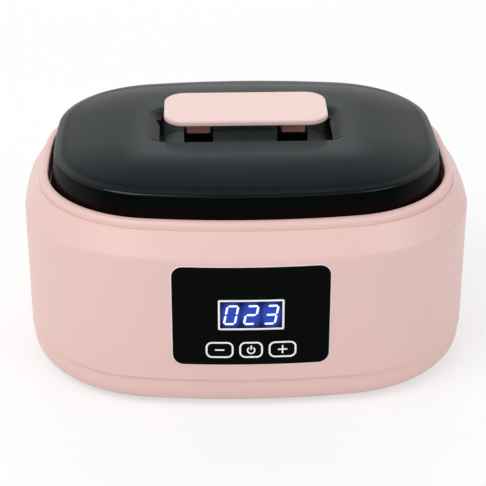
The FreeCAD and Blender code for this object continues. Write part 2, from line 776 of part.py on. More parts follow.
# lid: skirt, crowned top, handle tub with leg sockets
lid_body = new_body("lid")
SKIRT = "( rim_inset + lid_gap )"
EDGE = "( rim_inset + lid_gap + lid_draft )"
loft(lid_body, "AdditiveLoft", [
    oval_sketch(lid_body, SKIRT, LID_LOW),
    oval_sketch(lid_body, EDGE, LID_EDGE),
])


def crown(body, kind, inset, drop):
    """Loft the shallow crown through four levels of the outline, along an arc that ends level."""
    sections = []
    for share in (0.0, 0.32, 0.64, 1.0):
        rise = 1 - (1 - share) * (1 - share)
        sections.append(oval_sketch(body, "%s + crown_reach * %s + %s" % (EDGE, share, inset),
                                    "%s + crown_height * %s - %s" % (LID_EDGE, rise, drop)))
    return loft(body, kind, sections, False)


dome = crown(lid_body, "AdditiveLoft", "0", "0")
fillet(lid_body, dome, edges_at(dome, rim_at(val(LID_EDGE), EDGE)), "lid_round")
loft(lid_body, "SubtractiveLoft", [
    oval_sketch(lid_body, SKIRT + " + lid_wall", LID_LOW),
    oval_sketch(lid_body, EDGE + " + lid_wall", LID_EDGE + " - lid_wall"),
])
crown(lid_body, "SubtractiveLoft", "lid_wall", "lid_wall")


def tub_rect(body, shrink_x, shrink_y, round_off, z):
    return rect_sketch(body, "XY_Plane", "tub_length - " + shrink_x, "tub_width - " + shrink_y,
                       "tub_round - " + round_off, z=z)


loft(lid_body, "AdditiveLoft", [
    tub_rect(lid_body, "( tub_taper + tub_draft - 2 * lid_wall )",
             "( tub_lean + tub_side_draft - 2 * lid_wall )", "2", TUB_FLOOR + " - lid_wall"),
    tub_rect(lid_body, "( tub_taper - 2 * lid_wall )", "( tub_lean - 2 * lid_wall )", "1", TUB_BEND + " - 1"),
    tub_rect(lid_body, "( 0 - 2 * lid_wall )", "( 0 - 2 * lid_wall )", "0", CROWN + " - 1"),
])
loft(lid_body, "SubtractiveLoft", [
    tub_rect(lid_body, "( tub_taper + tub_draft )", "( tub_lean + tub_side_draft )", "4", TUB_FLOOR),
    tub_rect(lid_body, "tub_taper", "tub_lean", "2", TUB_BEND),
    tub_rect(lid_body, "( 0 - tub_taper * 2 / tub_chamfer )", "( 0 - tub_lean * 2 / tub_chamfer )", "0",
             CROWN + " + 2"),
])
for x in ("leg_x", "-1 * leg_x"):
    socket = rect_sketch(lid_body, "XY_Plane", "leg_width + 2 * socket_wall", "leg_depth + 2 * socket_wall",
                         "leg_round + 1", x, "0", TUB_FLOOR + " - 1")
    pad(lid_body, socket, "socket_height + 1")
    seat = rect_sketch(lid_body, "XY_Plane", "leg_width + 2 * leg_gap", "leg_depth + 2 * leg_gap",
                       "leg_round", x, "0", SOCKET_TOP)
    pocket(lid_body, seat, "leg_sink")
LEGS = [("leg_x", "0"), ("-1 * leg_x", "0")]
screw_holes = disc_sketch(lid_body, "XY_Plane", "screw_shank + 0.3", LEGS, TUB_FLOOR + " - 5")
pocket(lid_body, screw_holes, "20", True)
steam_hole = disc_sketch(lid_body, "XY_Plane", "steam_hole_radius", [("0", "steam_hole_y")], TUB_FLOOR + " - 5")
pocket(lid_body, steam_hole, "10", True)

handle = new_body("lid_handle")
plate = pad(handle, rect_sketch(handle, "XY_Plane", "handle_length", "handle_width", "handle_round",
                                z=HANDLE_LOW), "handle_thick")
plate_top = fillet(handle, plate, edges_at(plate, flat_at(val(HANDLE_TOP))), "handle_edge")
fillet(handle, plate_top, edges_at(plate_top, flat_at(val(HANDLE_LOW))), "handle_under")
for x in ("leg_x", "-1 * leg_x"):
    leg = rect_sketch(handle, "XY_Plane", "leg_width", "leg_depth", "leg_round", x, "0", LEG_LOW)
    pad(handle, leg, HANDLE_LOW + " + 1 - " + LEG_LOW)
pocket(handle, disc_sketch(handle, "XY_Plane", "screw_shank + 0.05", LEGS, LEG_LOW), "lid_screw_bite + 1", True)

handle_screws = group("handle_screws", [
    screw("handle_screw_%d" % i, "lid_screw_head", "lid_screw_head_height", "screw_shank",
          "lid_wall + socket_height - leg_sink + lid_screw_bite", x, y, TUB_FLOOR + " - lid_wall", UP)
    for i, (x, y) in enumerate(LEGS)])

# guard grille on four short feet
grille = new_body("guard_grille")
SLOT_COUNT = 15
GRILLE_LOW = "( " + POT_LOW + " + pot_wall + grille_lift )"
pad(grille, oval_sketch(grille, "pot_inset + pot_wall + grille_gap", GRILLE_LOW), "grille_thick")
FIRST_SLOT = "( 1 - %d ) / 2 * slot_pitch" % SLOT_COUNT
slot_sketch = rect_sketch(grille, "XY_Plane", "slot_width", "body_depth / 2 - slot_margin",
                          "slot_width / 2 - 0.1", FIRST_SLOT, "0", GRILLE_LOW + " + grille_thick")
slot = pocket(grille, slot_sketch, "grille_thick + 1")
slots = grille.newObject("PartDesign::LinearPattern", "grille_slots")
slots.Originals = [slot]
slots.Direction = (slot_sketch, ["H_Axis"])
slots.setExpression("Length", d("( %d - 1 ) * slot_pitch" % SLOT_COUNT))
slots.Occurrences = SLOT_COUNT
grille.Tip = slots
doc.recompute()
GRILLE_FEET = [(sx + "grille_foot_x", sy + "grille_foot_y") for sx in ("", "-1 * ") for sy in ("", "-1 * ")]
grille_pegs = disc_sketch(grille, "XY_Plane", "grille_foot_radius", GRILLE_FEET,
                          POT_LOW + " + pot_wall + lid_rest")
pad(grille, grille_pegs, "grille_lift - lid_rest + 1")

# control panel with a display window and three keys, all following the front bow
panel_block = slab("panel_block", "panel_width", "panel_height", "panel_round", "0", "panel_z", OUTSIDE,
                   "front_reach")
panel_skin = cut("panel_skin", bow("panel_front", "panel_proud"), [bow("panel_back", PANEL_BACK)])
panel_plate = common("panel_plate", panel_block, panel_skin)
window_hole = slab("window_hole", "window_width", "window_height", "2", "0", "window_z", OUTSIDE, "front_reach")
KEYS = [
    ("low_key", "-1 * key_x", "key_width"),
    ("power_key", "0", "power_width"),
    ("high_key", "key_x", "key_width"),
]
KEY_BACK = "( body_depth / 2 - panel_thick + panel_proud - key_seat_gap )"
key_holes = []
keys = []
for label, x, width in KEYS:
    key_holes.append(slab(label + "_hole", width + " + 2 * key_gap", "key_height + 2 * key_gap",
                          "key_round + key_gap", x, "key_z", OUTSIDE, "front_reach"))
    cap = common(label + "_cap", slab(label + "_block", width, "key_height", "key_round", x, "key_z",
                                      OUTSIDE, OUTSIDE + " - " + KEY_BACK),
                 bow(label + "_face", "panel_proud + key_proud"))
    rim = slab(label + "_flange", width + " + 2 * key_flange", "key_height + 2 * key_flange", "key_round", x,
               "key_z", KEY_BACK, "key_flange_thick")
    stem = rod(label + "_stem", "key_stem_radius", "key_stem", x, "-1 * " + KEY_BACK + " + key_flange_thick",
               "key_z", to_back)
    keys.append(fuse(label, [cap, rim, stem]))
control_panel = cut("control_panel", panel_plate, [window_hole] + key_holes)
lens_block = slab("lens_block", "window_width - 0.2", "window_height - 0.2", "1.9", "0", "window_z", OUTSIDE,
                  "front_reach")
lens_skin = cut("lens_skin", bow("lens_front", "panel_proud - 0.05"), [bow("lens_back", PANEL_BACK)])
display_lens = common("display_lens", lens_block, lens_skin)

# display board with its module and three tact switches
MODULE_FRONT = "( body_depth / 2 - 2.6 )"
module = slab("display_module", "window_width - 1.3", "window_height - 0.4", "0.5", "0", "window_z",
              MODULE_FRONT, MODULE_FRONT + " - " + BOARD_FACE)
board_holes = [rod("display_hole_%d" % i, "pilot_radius + 0.25", "4", x, "-1 * " + BOARD_FACE + " - 1", z,
                   to_back) for i, (x, z) in enumerate(BOARD_SPOTS)]
display_card = block("display_card", ("board_width", "board_thick", "board_height"), "0",
                     "-1 * " + BOARD_FACE + " + board_thick / 2", "board_low")
display_board = cut("display_board", display_card, board_holes)
switches = []
for i, (label, x, width) in enumerate(KEYS):
    case = block("switch_case_%d" % i, ("switch_side", "switch_case", "switch_side"), x,
                 "-1 * " + BOARD_FACE + " - switch_case / 2", "key_z - switch_side / 2")
    tip = KEY_BACK + " - key_flange_thick - key_stem - key_play"
    plunger = rod("switch_tip_%d" % i, "switch_tip", tip + " - " + BOARD_FACE, x, "-1 * ( " + tip + " )",
                  "key_z", to_back)
    switches.append(fuse("switch_%d" % i, [case, plunger]))
tact_switches = group("tact_switches", switches)
display_screws = group("display_screws", [
    screw("display_screw_%d" % i, "small_head", "small_head_height", "small_shank",
          "board_back - shell_wall - 3", x, "-1 * " + BOARD_FACE + " + board_thick", z, (0, -1, 0))
    for i, (x, z) in enumerate(BOARD_SPOTS)])

# power board and the parts on it
BOARD_TOP = "( " + FLOOR + " + post_height + board_thick )"
card = block("power_card", ("2 * power_x", "power_back - power_front", "board_thick"), "0",
             "( power_back + power_front ) / 2", FLOOR + " + post_height")
card_holes = [rod("power_hole_%d" % i, "pilot_radius + 0.25", "6", x, y, FLOOR + " + post_height - 2")
              for i, (x, y) in enumerate(BOARD_PEGS)]
power_board = cut("power_board", card, card_holes)
board_screws = group("board_screws", [
    screw("board_screw_%d" % i, "small_head", "small_head_height", "small_shank",
          "board_thick + post_height - 0.6", x, y, BOARD_TOP, (0, 0, -1))
    for i, (x, y) in enumerate(BOARD_PEGS)])
transformer = block("transformer", ("transformer_length", "transformer_width", "transformer_height"),
                    "-1 * transformer_x", "transformer_y", BOARD_TOP)
relay = block("relay", ("relay_length", "relay_width", "relay_height"), "relay_x", "row_y", BOARD_TOP)
capacitor = rod("filter_capacitor", "capacitor_radius", "capacitor_height", "capacitor_x", "row_y", BOARD_TOP)
terminals = block("terminal_block", ("terminal_length", "terminal_width", "terminal_height"), "0",
                  "power_back - terminal_width / 2 - 2", BOARD_TOP)
connector = block("cable_connector", ("connector_length", "connector_width", "connector_height"),
                  "-1 * cable_x", "power_front + connector_width / 2 + 1.5", BOARD_TOP)

# mains inlet at the back
inlet = new_body("power_inlet")
SEAT = "-1 * " + FRONT + " + inlet_plate - inlet_proud"
plate_face = rect_sketch(inlet, "XZ_Plane", "inlet_width", "inlet_height", "3", "0", "inlet_z", SEAT)
pad(inlet, plate_face, "inlet_plate", True)
body_face = rect_sketch(inlet, "XZ_Plane", "inlet_body_width", "inlet_body_height", "2.8", "0", "inlet_z", SEAT)
pad(inlet, body_face, "inlet_deep - inlet_plate")
MOUTH = "-1 * " + FRONT + " - inlet_proud"
mouth_face = rect_sketch(inlet, "XZ_Plane", "inlet_mouth_width", "inlet_mouth_height", "2.5", "0", "inlet_z",
                         MOUTH)
pocket(inlet, mouth_face, "inlet_deep - inlet_floor", True)
SCREW_SPOTS = [("inlet_screw_x", "inlet_z"), ("-1 * inlet_screw_x", "inlet_z")]
pocket(inlet, disc_sketch(inlet, "XZ_Plane", "inlet_shank + 0.45", SCREW_SPOTS, MOUTH), "6", True)
pocket(inlet, disc_sketch(inlet, "XZ_Plane", "inlet_head + 0.2", SCREW_SPOTS, MOUTH), "inlet_sink", True)
SOCKET_BACK = "( body_depth / 2 + inlet_proud - inlet_deep + inlet_floor )"
PIN_LOW = "inlet_z - pin_height - 0.4"
PINS = [("0", "inlet_z + 0.4"), ("pin_spread", PIN_LOW), ("-1 * pin_spread", PIN_LOW)]
inlet_pins = group("inlet_pins", [
    block("inlet_pin_%d" % i, ("pin_width", "pin_length", "pin_height"), x,
          SOCKET_BACK + " + pin_length / 2", z)
    for i, (x, z) in enumerate(PINS)])
inlet_screws = group("inlet_screws", [
    screw("inlet_screw_%d" % i, "inlet_head", "inlet_head_height", "inlet_shank", "inlet_screw_length", x,
          FRONT + " + inlet_proud - inlet_sink", z, (0, -1, 0))
    for i, (x, z) in enumerate(SCREW_SPOTS)])

# wires inside
inlet_rear = val(FRONT + " + inlet_proud - inlet_deep")
block_rear = val("power_back - 2")
wire_z = val(BOARD_TOP + " + terminal_height - 4")
mains = []
turn = inlet_rear - val("lead_bend + 1")
for i, side in enumerate((-1, 1)):
    run = [(inlet_rear, val("inlet_z")), (turn, val("inlet_z")), (turn, wire_z), (block_rear, wire_z)]
    mains.append(lead("mains_lead_%d" % i, side * val("pin_spread"), run, val("lead_bend"), val("lead_radius")))
mains_leads = group("mains_leads", mains)
card_rear = val("board_thick - " + BOARD_FACE)
cable_z = val(BOARD_TOP + " + connector_height / 2")
cable_y = card_rear + val("cable_bend + 1")
cable_top = val("board_low + board_edge")
display_cable = lead("display_cable", -val("cable_x"), [
    (card_rear, cable_top),
    (cable_y, cable_top),
    (cable_y, cable_z),
    (val("power_front + 1.5"), cable_z),
], val("cable_bend"), val("cable_radius"))

doc.recompute()
PIECES = [
    housing, base_cover, feet, base_screws, pot, gasket, mat, clamp, stud_nuts, pot_frame, wrap,
    sensor, fuse_box, control_panel, display_lens, module, display_board, tact_switches, display_screws,
    power_board, board_screws, transformer, relay, capacitor, terminals, connector, inlet, inlet_pins,
    inlet_screws, mains_leads, display_cable, lid_body, handle, handle_screws, grille,
] + keys
bad = [item.Label for item in doc.Objects if "Invalid" in item.State or "Error" in item.State]
if bad:
    raise RuntimeError("objects that did not build: " + ", ".join(bad))
os.makedirs("parts", exist_ok=True)
for item in PIECES:
    if item.Shape.isNull() or not item.Shape.isValid():
        raise RuntimeError("bad shape " + item.Label)
    item.Shape.exportStep("parts/" + item.Label + ".step")
    box = item.Shape.BoundBox
    print("%-20s solids %d volume %9.0f z %.1f to %.1f" % (
        item.Label, len(item.Shape.Solids), item.Shape.Volume, box.ZMin, box.ZMax))
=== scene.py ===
import json
import math

import bmesh
import bpy
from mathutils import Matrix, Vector


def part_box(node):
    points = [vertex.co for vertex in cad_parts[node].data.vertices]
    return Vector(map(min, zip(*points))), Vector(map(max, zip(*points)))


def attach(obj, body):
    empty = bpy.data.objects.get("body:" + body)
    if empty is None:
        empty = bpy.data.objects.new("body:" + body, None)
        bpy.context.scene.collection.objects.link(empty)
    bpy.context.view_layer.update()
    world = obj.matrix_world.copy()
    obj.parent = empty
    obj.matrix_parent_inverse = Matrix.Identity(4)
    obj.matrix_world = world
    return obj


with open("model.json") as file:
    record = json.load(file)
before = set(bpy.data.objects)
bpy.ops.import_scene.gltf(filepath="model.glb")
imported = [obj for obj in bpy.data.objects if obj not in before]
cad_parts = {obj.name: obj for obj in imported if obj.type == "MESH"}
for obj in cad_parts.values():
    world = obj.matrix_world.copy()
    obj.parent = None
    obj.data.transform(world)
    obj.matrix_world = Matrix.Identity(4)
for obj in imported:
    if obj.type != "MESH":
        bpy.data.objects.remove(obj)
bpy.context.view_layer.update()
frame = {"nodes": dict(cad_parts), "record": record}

nodes = frame["nodes"]


def middle(node):
    low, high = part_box(node)
    return (low + high) / 2


# the bowed front wall, and how far the panel, the figures and the keys stand out of it
BOW_RADIUS = 0.506
FRONT = 0.119
FIGURE_PROUD = 0.00036
PANEL_PROUD = 0.0004
KEY_PROUD = 0.0008

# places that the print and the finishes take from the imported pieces
PANEL_Z = middle("control_panel").z
WINDOW_Z = middle("display_lens").z
KEY_Z = middle("power_key").z
KEY_X = middle("high_key").x
LID_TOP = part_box("lid")[1].z
HANDLE_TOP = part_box("lid_handle")[1].z

# zones of the lid's finish, as depths under its top between which each one fades in or out
WELL_START = (0.0006, 0.0036)
CROWN_END = (0.0048, 0.0090)
ROLL_START = (0.0061, 0.0074)
ROLL_END = (0.0084, 0.0094)
SKIRT_START = (0.0126, 0.0266)

# the same zones seen from above, as distances from the middle across and along the lid
EDGE_REACH = (0.126, 0.096)
EDGE_START = (0.72, 0.9)
WELL_ACROSS = (0.0645, 0.0665)
WELL_ALONG = (0.0300, 0.0312)
WELL_FLOOR_ACROSS = (0.0540, 0.0570)
HAZE_AND_SHEEN_ACROSS = (0.0640, 0.0860)
HAZE_AND_SHEEN_ALONG = (0.0400, 0.0640)
END_START = (0.0850, 0.1250)

# the handle's legs: their place, the sockets round them, and where their painted shade starts under the
# handle's top
LEG_X = 0.032
SOCKET_ACROSS = (0.0101, 0.0103)
SOCKET_ALONG = (0.0121, 0.0123)
LEG_START = (0.0043, 0.0050)

# the lit figures and the glow round each one
DIGIT_PITCH = 0.0128
DIGIT_WIDTH = 0.0083
DIGIT_HEIGHT = 0.0144
STROKE = 0.0014
STROKE_GAP = 0.0003
SLANT = 0.19
SEGMENTS = {"0": "abcdef", "2": "abdeg", "3": "abcdg"}
GLOW_REACH = (0.0068, 0.0098)
GLOW_END = (0.15, 1.5)

# printed frames, and the painted highlight round the panel's edge: outer sizes, corner rounds and line widths
PANEL_HIGHLIGHT = (0.1025, 0.0725)
PANEL_CORNER = 0.0076
PANEL_LINE = 0.0009
WINDOW_FRAME = (0.0424, 0.0220)
WINDOW_CORNER = 0.0004
WINDOW_LINE = 0.0013
WIDE_KEY_FRAME = (0.0180, 0.0119)
POWER_KEY_FRAME = (0.0153, 0.0119)
KEY_CORNER = 0.0036
KEY_LINE = 0.0012

# signs on the keys, and the thickness of the ink and of the painted edge highlight
SIGN_REACH = 0.003
SIGN_HALF_LINE = 0.0005
RING_DROP = 0.0003
RING_INNER = 0.0019
RING_OUTER = 0.0028
RING_START = 125
RING_STOP = 415
STEM_LOW = 0.0002
STEM_HIGH = 0.0032
FRAME_LAYER = 0.00012
FIGURE_INK = 0.00006
SIGN_INK = 0.00004

# the floor's half side, and the squared distances from the middle between which it pales
FLOOR_REACH = 6.0
PALE_START = 0.06
PALE_END = 1.2

WHITE = (1.0, 1.0, 1.0, 1.0)


class Value:
    """A shader socket that takes part in sums, so that an expression adds its own Math nodes."""

    def __init__(self, shading, socket):
        self.shading = shading
        self.socket = socket

    def math(self, operation, first, second):
        return self.shading.value("ShaderNodeMath", {"operation": operation}, {0: first, 1: second}, 0)

    def __add__(self, other):
        return self.math("ADD", self, other)

    __radd__ = __add__

    def __sub__(self, other):
        return self.math("SUBTRACT", self, other)

    def __rsub__(self, other):
        return self.math("SUBTRACT", other, self)

    def __mul__(self, other):
        return self.math("MULTIPLY", self, other)

    __rmul__ = __mul__

    def __truediv__(self, other):
        return self.math("DIVIDE", self, other)

    def __abs__(self):
        return self.math("ABSOLUTE", self, 0.0)

    def most(self, other):
        return self.math("MAXIMUM", self, other)

    def swing(self, width):
        return self.math("PINGPONG", self, width)


class Wiring:
    """Adds nodes to one tree and feeds their sockets."""

    def __init__(self, tree):
        self.tree = tree

    def feed(self, given, socket):
        """Link a socket to a value or to another socket, or set it to a plain number or colour."""
        if isinstance(given, Value):
            given = given.socket
        if isinstance(given, bpy.types.NodeSocket):
            self.tree.links.new(given, socket)
        else:
            socket.default_value = given

    def node(self, kind, settings, inputs):
        made = self.tree.nodes.new(kind)
        for key, setting in settings.items():
            setattr(made, key, setting)
        for key, given in inputs.items():
            self.feed(given, made.inputs[key])
        return made


class Shading(Wiring):
    """Shader nodes that vary a surface or the sky from its coordinates."""

    def __init__(self, tree, coordinates):
        super().__init__(tree)
        self.place = self.value("ShaderNodeTexCoord", {}, {}, coordinates)

    def value(self, kind, settings, inputs, output):
        """Add a node and take one of its outputs as a value."""
        return Value(self, self.node(kind, settings, inputs).outputs[output])

    def axis(self, name):
        return self.value("ShaderNodeSeparateXYZ", {}, {"Vector": self.place}, name)

    def ray(self, name):
        return self.value("ShaderNodeLightPath", {}, {}, name)

    def noise(self, scale, detail, roughness=0.5):
        return self.value("ShaderNodeTexNoise", {}, {
            "Vector": self.place, "Scale": scale, "Detail": detail, "Roughness": roughness}, "Fac")

    def span(self, factor, low, high, out_low, out_high, curve="SMOOTHSTEP"):
        return self.value("ShaderNodeMapRange", {"interpolation_type": curve}, {
            "Value": factor, "From Min": low, "From Max": high,
            "To Min": out_low, "To Max": out_high}, "Result")

    def above(self, factor, limits):
        """A mask that rises from 0 to 1 between two limits."""
        return self.span(factor, limits[0], limits[1], 0.0, 1.0)

    def below(self, factor, limits):
        """A mask that falls from 1 to 0 between two limits."""
        return self.span(factor, limits[0], limits[1], 1.0, 0.0)

    def mix(self, factor, first, second):
        return self.value("ShaderNodeMix", {}, {0: factor, 2: first, 3: second}, 0)

    def tint(self, factor, first, second):
        return self.value("ShaderNodeMix", {"data_type": "RGBA"}, {0: factor, 6: first, 7: second}, 2)

    def bump(self, height, strength, distance):
        return self.value("ShaderNodeBump", {}, {
            "Height": height, "Strength": strength, "Distance": distance}, "Normal")


class Finish(Shading):
    """One material: a Principled surface and the nodes that vary it over the piece."""

    def __init__(self, name):
        self.material = bpy.data.materials.new(name)
        self.material.use_nodes = True
        super().__init__(self.material.node_tree, "Object")
        self.surface = self.tree.nodes["Principled BSDF"]

    def set(self, **sockets):
        for key, given in sockets.items():
            self.feed(given, self.surface.inputs[key.replace("_", " ")])
        return self.material


def linear(red, green, blue):
    """Turn an eight-bit screen colour into the linear colour that a shader takes."""
    shades = []
    for part in (red, green, blue):
        part = part / 255
        shades.append(part / 12.92 if part <= 0.04045 else ((part + 0.055) / 1.055) ** 2.4)
    return (shades[0], shades[1], shades[2], 1.0)


def scaled(shade, factor):
    return (shade[0] * factor, shade[1] * factor, shade[2] * factor, 1.0)


def moulded(name, shade, rough, grain=1600.0, depth=0.00002, clouds=0.05, gloss=0.5):
    """Moulded plastic or rubber: faint clouding of the colour and a fine grain in the gloss."""
    finish = Finish(name)
    cloud = finish.noise(14.0, 2.0)
    fine = finish.noise(grain, 2.0)
    return finish.set(
        Base_Color=finish.tint(cloud, scaled(shade, 1 - clouds), scaled(shade, 1 + clouds)),
        Roughness=rough + (fine - 0.5) * 0.12,
        Normal=finish.bump(fine, 0.25, depth),
        Specular_IOR_Level=gloss,
    )


def drawn_metal(name, shade, rough, stretch=(40.0, 900.0, 900.0)):
    """Sheet metal with fine drawing lines along one axis."""
    finish = Finish(name)
    mapped = finish.value("ShaderNodeMapping", {}, {"Vector": finish.place, "Scale": stretch}, 0)
    streak = finish.value("ShaderNodeTexNoise", {}, {"Vector": mapped, "Scale": 1.0, "Detail": 4.0}, "Fac")
    return finish.set(
        Base_Color=finish.tint(streak, scaled(shade, 0.86), scaled(shade, 1.1)),
        Metallic=1.0,
        Roughness=rough + (streak - 0.5) * 0.2,
        Normal=finish.bump(streak, 0.15, 0.00003),
    )


def smoked_lid():
    """Dark gloss lid: a painted warm glow low on its walls, bright rolled edge, hazed crown with a painted
    cool tint and a painted pale sheen round the handle, and a well painted lighter for its reflections, with
    black leg sockets.
    """
    finish = Finish("smoked_lid")
    cloud = finish.noise(9.0, 2.0)
    wave = finish.noise(30.0, 1.0)
    drop = LID_TOP - finish.axis("Z")
    across = abs(finish.axis("X"))
    along = abs(finish.axis("Y"))

    # the outer edge, with the skirt at its foot and the roll at its top
    ring_x = across / EDGE_REACH[0]
    ring_y = along / EDGE_REACH[1]
    edge = finish.above(ring_x * ring_x + ring_y * ring_y, EDGE_START)
    painted_skirt_glow = finish.above(drop - (cloud - 0.5) * 0.004, SKIRT_START) * edge
    rolled = finish.above(drop, ROLL_START) * finish.below(drop, ROLL_END) * edge

    # the handle well, its floor and the leg sockets in it; the well bar its sockets is painted lighter, a
    # painted reflection
    inside = finish.below(across, WELL_ACROSS) * finish.below(along, WELL_ALONG)
    well = inside * finish.above(drop, WELL_START)
    well_floor = finish.below(across, WELL_FLOOR_ACROSS)
    socket = finish.below(abs(across - LEG_X), SOCKET_ACROSS) * finish.below(along, SOCKET_ALONG)
    painted_grey_well = well * (1 - socket)

    # the crown, its haze from use round the handle with a painted pale sheen on the same patch, and the walls
    # at the two ends
    crown = finish.below(drop, CROWN_END) * (1 - well)
    haze_and_painted_sheen = finish.below(across, HAZE_AND_SHEEN_ACROSS) * finish.below(along, HAZE_AND_SHEEN_ALONG)
    ends = finish.above(across, END_START) * (1 - crown)

    shade = finish.tint(cloud, linear(6, 9, 10), linear(10, 14, 16))
    # painted glow: the foot of the wall is tinted warm red-brown, a glow painted into the colour
    shade = finish.tint(painted_skirt_glow * 0.6, shade, linear(34, 16, 12))
    # painted reflection tint: the crown gets a cool tint to match the cool sheen it mirrors
    shade = finish.tint(crown, shade, linear(4, 17, 21))
    # painted sheen: round the handle the crown is lightened towards grey, standing in for a reflection
    shade = finish.tint(haze_and_painted_sheen * (1 - well) * 0.8, shade, linear(74, 77, 79))
    return finish.set(
        # painted reflection: the well floor, gloss black in truth, gets a light base colour that stands in
        # for what it mirrors
        Base_Color=finish.tint(painted_grey_well * well_floor, shade, linear(102, 109, 110)),
        Roughness=0.1 + (cloud - 0.5) * 0.05 + haze_and_painted_sheen * 0.22,
        Normal=finish.bump(wave, 0.03, 0.0002),
        Specular_IOR_Level=0.0,
        Coat_Weight=crown * (0.48 - haze_and_painted_sheen * 0.26) + painted_grey_well * 0.4 + rolled * 0.45 + ends * 0.2,
        Coat_Roughness=0.08,
    )


def pink_handle():
    """Pale handle plate, with a painted darker, redder leg shade below it for the shadow under the plate."""
    finish = Finish("pink_handle")
    fine = finish.noise(1400.0, 2.0)
    plate = finish.tint(finish.noise(14.0, 2.0), linear(232, 202, 196), linear(236, 207, 201))
    # painted shade: below the plate the leg colour is a darker, redder shade of the plate's own pink
    painted_leg_shade = finish.above(HANDLE_TOP - finish.axis("Z"), LEG_START)
    return finish.set(
        Base_Color=finish.tint(painted_leg_shade, plate, linear(226, 156, 149)),
        Roughness=0.34 + (fine - 0.5) * 0.12,
        Normal=finish.bump(fine, 0.25, 0.00002),
    )


def lit_glass():
    """Blue filter in front of the display: dark navy, glowing around each figure."""
    finish = Finish("display_glow")
    across = (finish.axis("X") + DIGIT_PITCH * 4).swing(DIGIT_PITCH / 2) / GLOW_REACH[0]
    up = (finish.axis("Z") - WINDOW_Z) / GLOW_REACH[1]
    speckle = 0.85 + 0.3 * finish.noise(700.0, 1.0)
    glow = finish.below(across * across + up * up, GLOW_END) * speckle
    return finish.set(
        Base_Color=finish.tint(glow, linear(4, 5, 30), linear(14, 20, 90)),
        Roughness=0.12,
        Specular_IOR_Level=0.1,
        Emission_Color=finish.tint(glow, linear(7, 14, 58), linear(42, 70, 164)),
        Emission_Strength=1.0,
    )


def lit_segment():
    """Bright bars of the figures, with a faint shimmer."""
    finish = Finish("lit_segment")
    shimmer = finish.noise(900.0, 1.0)
    return finish.set(
        Base_Color=linear(180, 195, 235),
        Roughness=0.4,
        Emission_Color=finish.tint(shimmer, linear(190, 205, 250), linear(226, 234, 255)),
        Emission_Strength=1.0,
    )


def circuit_board(name):
    """Solder-masked board with a faint grid of tracks."""
    finish = Finish(name)
    tracks = finish.value("ShaderNodeTexBrick", {"offset": 0.35}, {
        "Vector": finish.place, "Scale": 160.0, "Mortar Size": 0.06,
        "Color1": linear(22, 92, 46), "Color2": linear(18, 80, 40), "Mortar": linear(44, 122, 64)}, "Color")
    return finish.set(Base_Color=tracks, Roughness=0.35)


def felt(name, shade):
    """Loose fibre felt with a deep nap."""
    finish = Finish(name)
    fibre = finish.noise(500.0, 6.0, 0.7)
    return finish.set(
        Base_Color=finish.tint(fibre, scaled(shade, 0.75), scaled(shade, 1.1)),
        Roughness=0.95,
        Normal=finish.bump(fibre, 0.7, 0.0006),
    )


finishes = {
    "pink_plastic": moulded("pink_shell", linear(233, 196, 190), 0.36, 1400.0, 0.00002, 0.02),
    "handle_plastic": pink_handle(),
    "lid_gloss": smoked_lid(),
    "panel_gloss": moulded("black_panel", linear(5, 6, 6), 0.16, 1800.0, 0.000004, 0.1, 0.03),
    "key_gloss": moulded("black_key", linear(6, 7, 7), 0.2, 1800.0, 0.000004, 0.1, 0.03),
    "lens_blue": lit_glass(),
    "module_black": moulded("module_case", linear(30, 30, 36), 0.5),
    "foot_rubber": moulded("foot_rubber", linear(44, 44, 46), 0.8, 900.0, 0.00006),
    "gasket_rubber": moulded("pale_silicone", linear(214, 208, 204), 0.55),
    "heater_rubber": moulded("heater_silicone", linear(184, 92, 60), 0.6, 700.0, 0.00008),
    "pot_aluminium": drawn_metal("pot_metal", (0.72, 0.72, 0.73, 1.0), 0.32),
    "clamp_aluminium": drawn_metal("clamp_metal", (0.62, 0.62, 0.63, 1.0), 0.4),
    "frame_steel": drawn_metal("plated_frame", (0.56, 0.55, 0.53, 1.0), 0.36),
    "screw_steel": drawn_metal("plated_screw", (0.55, 0.55, 0.54, 1.0), 0.3, (500.0, 500.0, 120.0)),
    "wrap_fabric": felt("fibre_felt", (0.72, 0.69, 0.62, 1.0)),
    "case_plastic": moulded("dark_case", linear(38, 38, 40), 0.55),
    "board_green": circuit_board("circuit_board"),
    "transformer_yellow": moulded("coil_tape", linear(206, 172, 66), 0.45),
    "relay_blue": moulded("relay_case", linear(38, 72, 150), 0.35),
    "capacitor_sleeve": moulded("capacitor_sleeve", linear(36, 36, 56), 0.3),
    "terminal_green": moulded("terminal_case", linear(58, 140, 78), 0.5),
    "connector_white": moulded("connector_nylon", linear(222, 218, 206), 0.5),
    "inlet_black": moulded("socket_moulding", linear(30, 30, 31), 0.5, 1100.0, 0.00004),
    "pin_brass": drawn_metal("pin_metal", (0.7, 0.58, 0.32, 1.0), 0.28),
    "lead_jacket": moulded("lead_jacket", linear(136, 40, 36), 0.45),
    "cable_jacket": moulded("cable_jacket", linear(140, 140, 146), 0.5),
    "grille_plastic": moulded("grille_moulding", linear(226, 222, 218), 0.45),
}
for part in frame["record"]["subparts"]:
    slots = nodes[part["node"]].data.materials
    slots.clear()
    slots.append(finishes[part["material_slot"]])

white_ink = moulded("white_ink", linear(250, 251, 252), 0.4, 1800.0, 0.000004, 0.02)
# painted highlight: this pale line round the panel stands in for the light caught on the edge of its recess
painted_edge_highlight = moulded("painted_edge_highlight", linear(252, 240, 238), 0.3, 1400.0, 0.00001, 0.02)


def lay_on_front(mesh, proud):
    """Stand a flat drawing upright on the bowed front: its height becomes the stand-off from the bow."""
    for vertex in mesh.vertices:
        x, z, lift = vertex.co
        reach = math.sqrt((BOW_RADIUS + proud + lift) ** 2 - x * x) - (BOW_RADIUS - FRONT)
        vertex.co = (x, -reach, z)


def add_piece(name, mesh, body):
    piece = bpy.data.objects.new(name, mesh)
    bpy.context.scene.collection.objects.link(piece)
    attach(piece, body)


